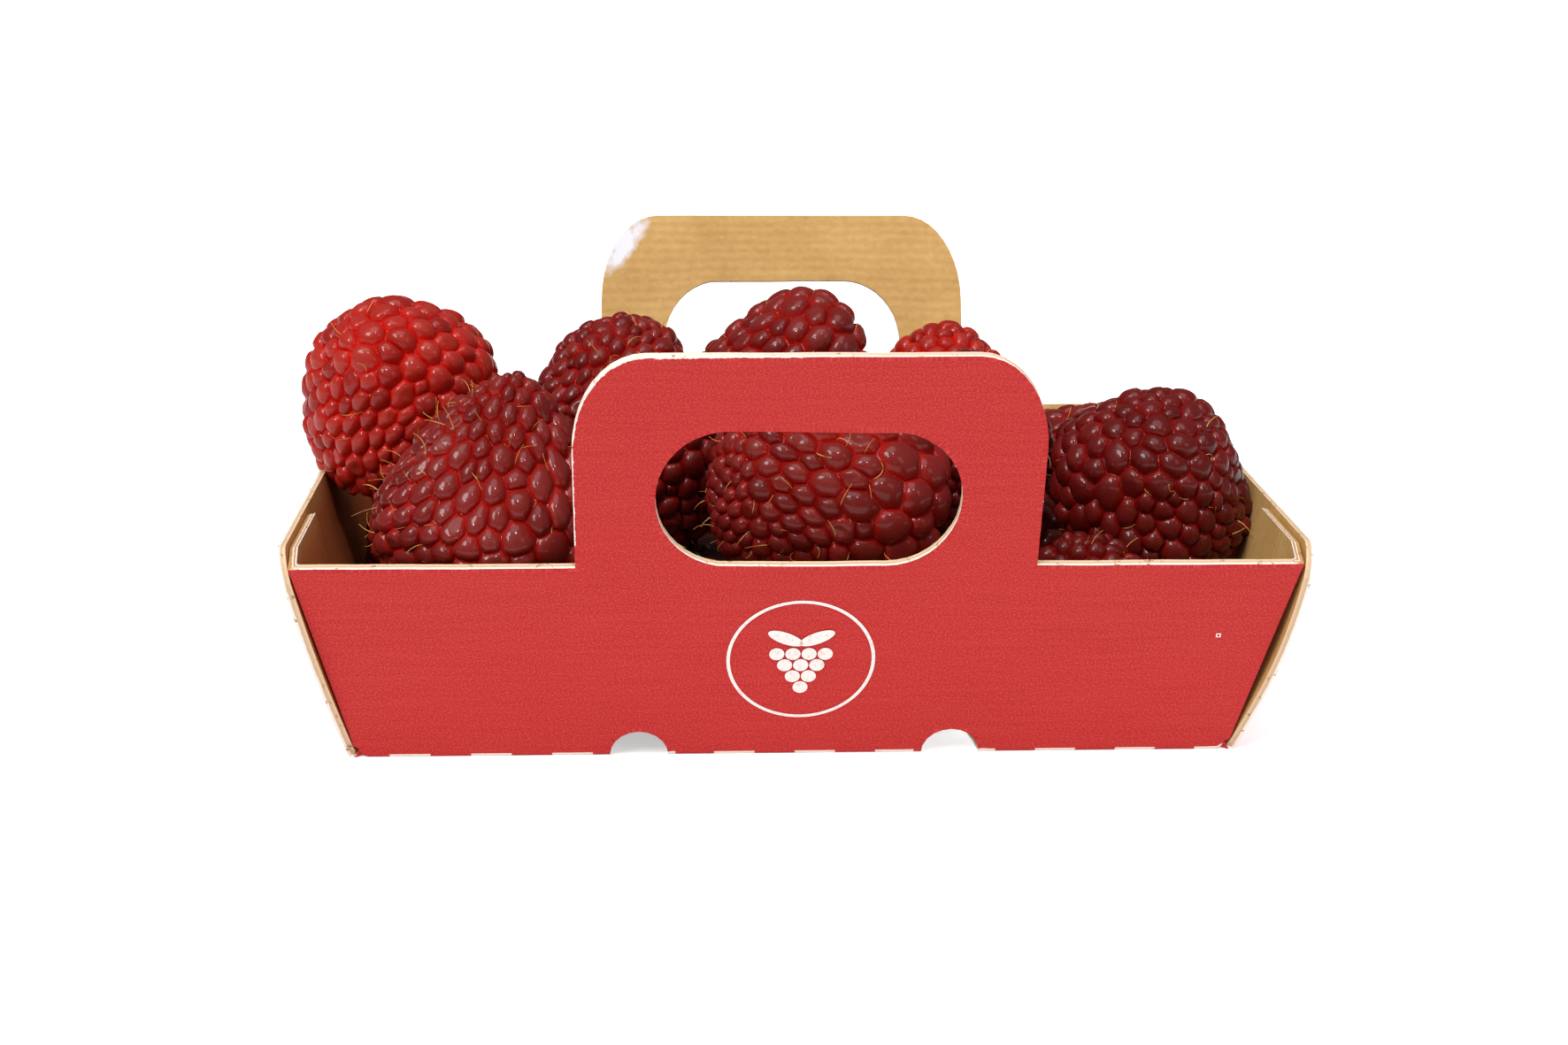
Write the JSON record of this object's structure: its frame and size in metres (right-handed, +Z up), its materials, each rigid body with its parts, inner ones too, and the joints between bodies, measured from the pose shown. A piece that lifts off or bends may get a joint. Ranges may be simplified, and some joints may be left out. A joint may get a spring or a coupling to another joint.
{
  "type": "punnet of raspberries",
  "caption": "Small folded cardboard punnet with two upright carrying handles, red outside and brown inside, heaped above its rim with raspberries.",
  "frame": {"origin": "centre of the base's underside, on the surface that the punnet stands on", "axes": "+X along the punnet's length, +Y from the front wall to the back wall, +Z up"},
  "size_m": [0.1242, 0.1106, 0.0545],
  "materials": {
    "printed_card": "fine-flute board, matt red print on a white liner outside, plain brown kraft inside",
    "kraft_card": "plain brown kraft liner with faint flute lines",
    "white_print": "unprinted white liner and cut edges",
    "raspberry": "soft translucent red drupelets with a pale bloom",
    "berry_hair": "fine dry golden styles"
  },
  "bodies": {
    "root": {"carton": "printed_card", "berry_heap": "raspberry"}
  },
  "joints": []
}
